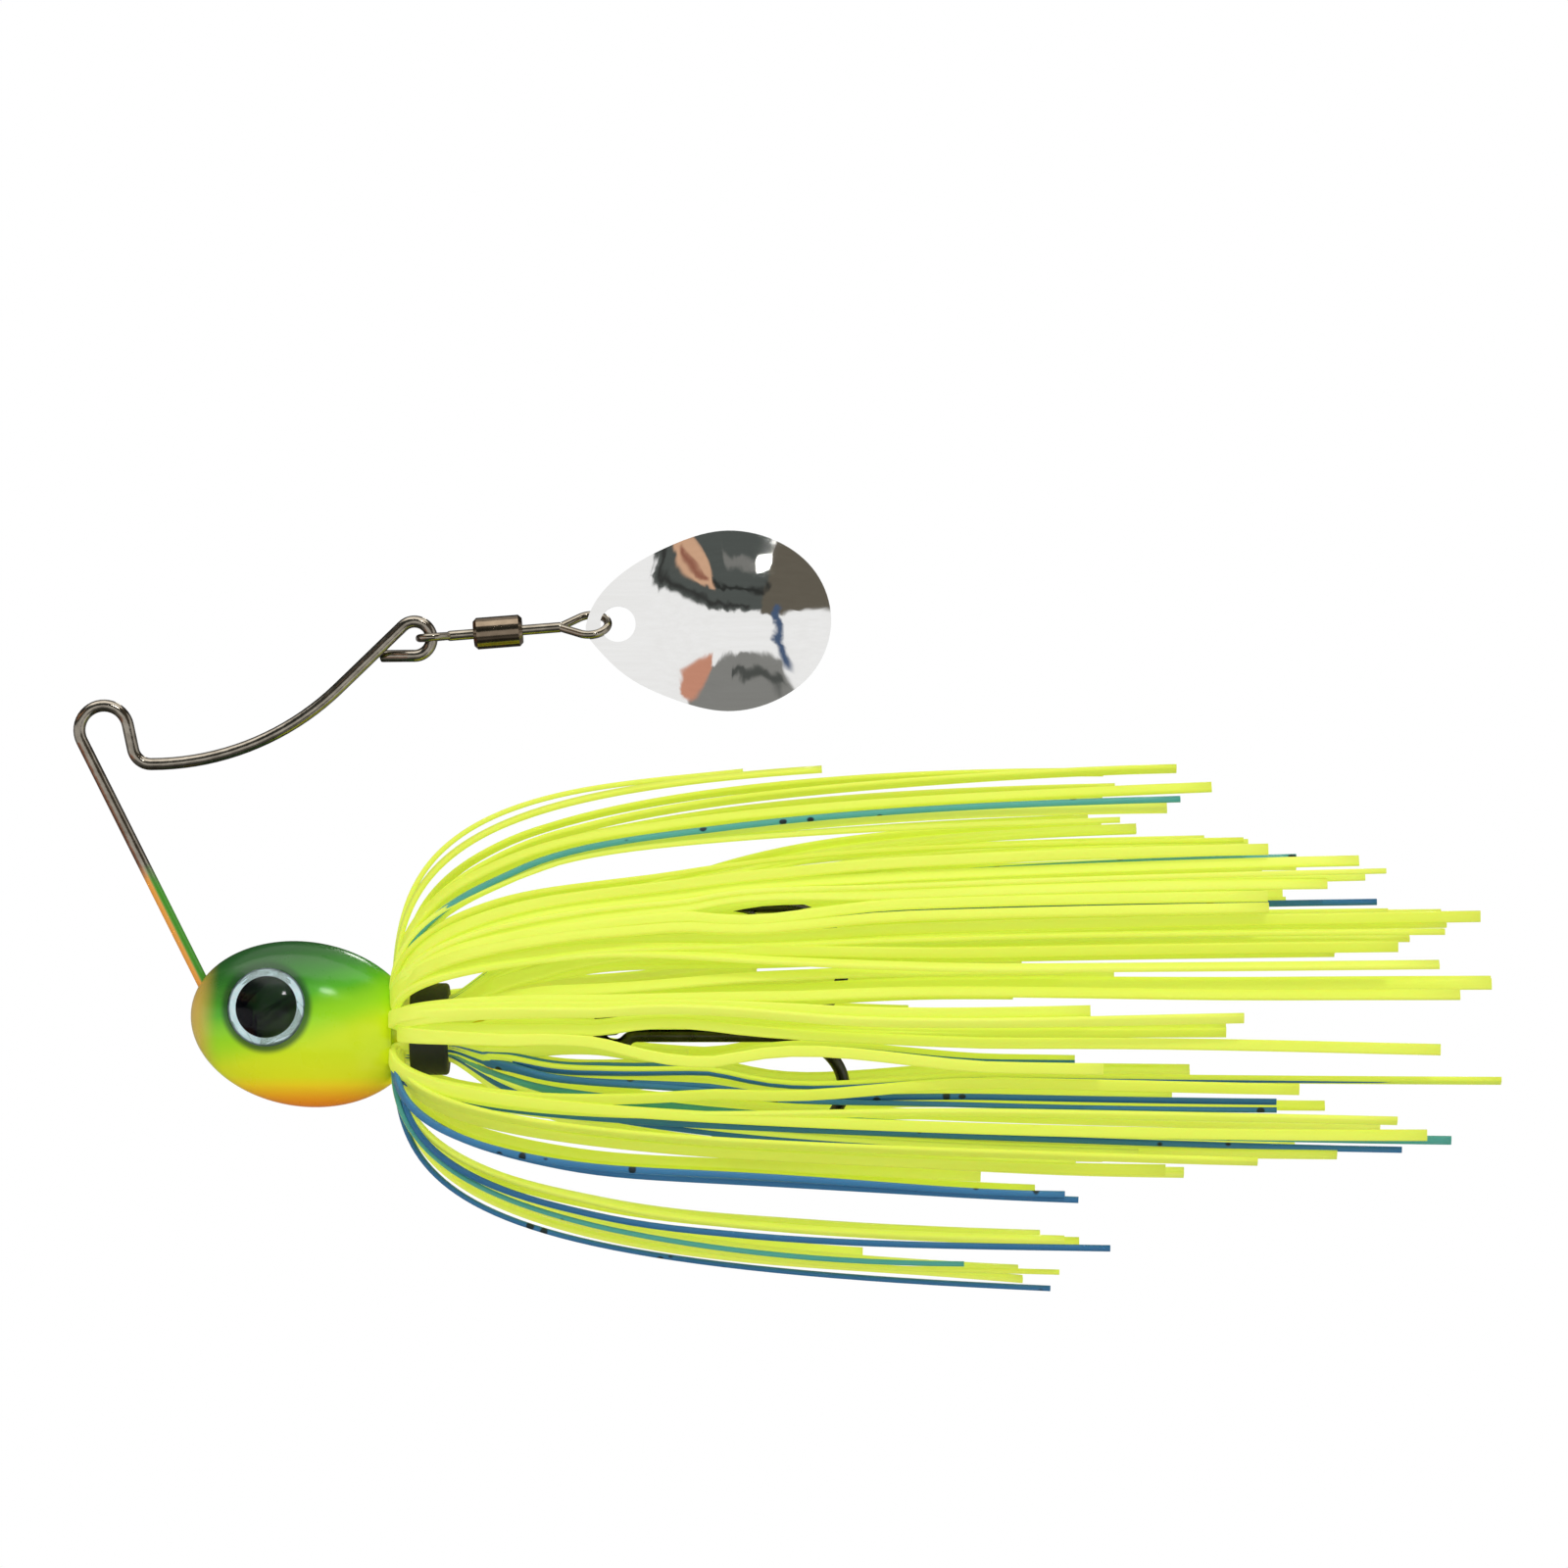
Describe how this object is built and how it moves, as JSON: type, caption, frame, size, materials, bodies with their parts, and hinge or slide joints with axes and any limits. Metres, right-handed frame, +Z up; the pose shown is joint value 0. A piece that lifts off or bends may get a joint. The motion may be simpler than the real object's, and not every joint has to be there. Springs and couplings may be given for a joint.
{
  "type": "spinnerbait",
  "caption": "Wire-arm fishing lure with an egg-shaped lead head, a silicone skirt, a swinging double hook and a cupped blade on a barrel swivel.",
  "frame": {"origin": "centre of the bend in the wire that the fishing line is tied to", "axes": "+X towards the lure's tail, +Y to the lure's right-hand side, +Z up, from the head towards the blade"},
  "size_m": [0.116, 0.0265, 0.0617],
  "materials": {
    "frame_wire": "drawn stainless spring wire, painted where it enters the head",
    "hanger_wire": "drawn stainless spring wire",
    "head_paint": "gloss paint over cast lead, green back, yellow sides, orange belly",
    "eye_foil": "silver foil ring round a black pupil",
    "eye_lens": "clear cap",
    "band_rubber": "matte black rubber",
    "skirt_silicone": "translucent chartreuse silicone with a few blue and teal strands",
    "swivel_nickel": "black nickel",
    "barrel_nickel": "polished black nickel",
    "blade_chrome": "polished nickel plate",
    "hook_steel": "black nickel"
  },
  "bodies": {
    "head": {"wire_frame": "frame_wire", "hook_hanger": "hanger_wire", "head_casting": "head_paint", "left_eye_foil": "eye_foil", "left_eye_lens": "eye_lens", "right_eye_foil": "eye_foil", "right_eye_lens": "eye_lens", "skirt_band": "band_rubber", "skirt_lock_01": "skirt_silicone", "skirt_lock_02": "skirt_silicone", "skirt_lock_03": "skirt_silicone", "skirt_lock_04": "skirt_silicone", "skirt_lock_05": "skirt_silicone", "skirt_lock_06": "skirt_silicone", "skirt_lock_07": "skirt_silicone", "skirt_lock_08": "skirt_silicone", "skirt_lock_09": "skirt_silicone", "skirt_lock_10": "skirt_silicone", "skirt_lock_11": "skirt_silicone", "skirt_lock_12": "skirt_silicone"},
    "front_eye": {"swivel_front_eye": "swivel_nickel"},
    "barrel": {"swivel_barrel": "barrel_nickel"},
    "rear_eye": {"swivel_rear_eye": "swivel_nickel"},
    "blade": {"blade": "blade_chrome"},
    "hook": {"double_hook": "hook_steel"}
  },
  "joints": [
    {"name": "swivel_swing", "type": "hinge", "parent": "head", "child": "front_eye", "pos_m": [0.02536, 0, 0.00746], "axis": [0, -1, 0], "range_deg": [-10, 90]},
    {"name": "barrel_spin", "type": "hinge", "parent": "front_eye", "child": "barrel", "pos_m": [0.02536, 0, 0.00746], "axis": [0.9969, 0, 0.0785], "continuous": true},
    {"name": "rear_eye_spin", "type": "hinge", "parent": "barrel", "child": "rear_eye", "pos_m": [0.02536, 0, 0.00746], "axis": [0.9969, 0, 0.0785], "continuous": true},
    {"name": "blade_flap", "type": "hinge", "parent": "rear_eye", "child": "blade", "pos_m": [0.03971, 0, 0.00859], "axis": [-0.0643, -0.5736, 0.8166], "range_deg": [-60, 60]},
    {"name": "hook_swing", "type": "hinge", "parent": "head", "child": "hook", "pos_m": [0.0417, 0, -0.0244], "axis": [0, -1, 0], "range_deg": [-40, 12], "deforming": ["skirt_lock_01", "skirt_lock_02", "skirt_lock_03", "skirt_lock_04", "skirt_lock_05", "skirt_lock_06", "skirt_lock_07", "skirt_lock_08", "skirt_lock_09", "skirt_lock_10", "skirt_lock_11", "skirt_lock_12"]}
  ]
}
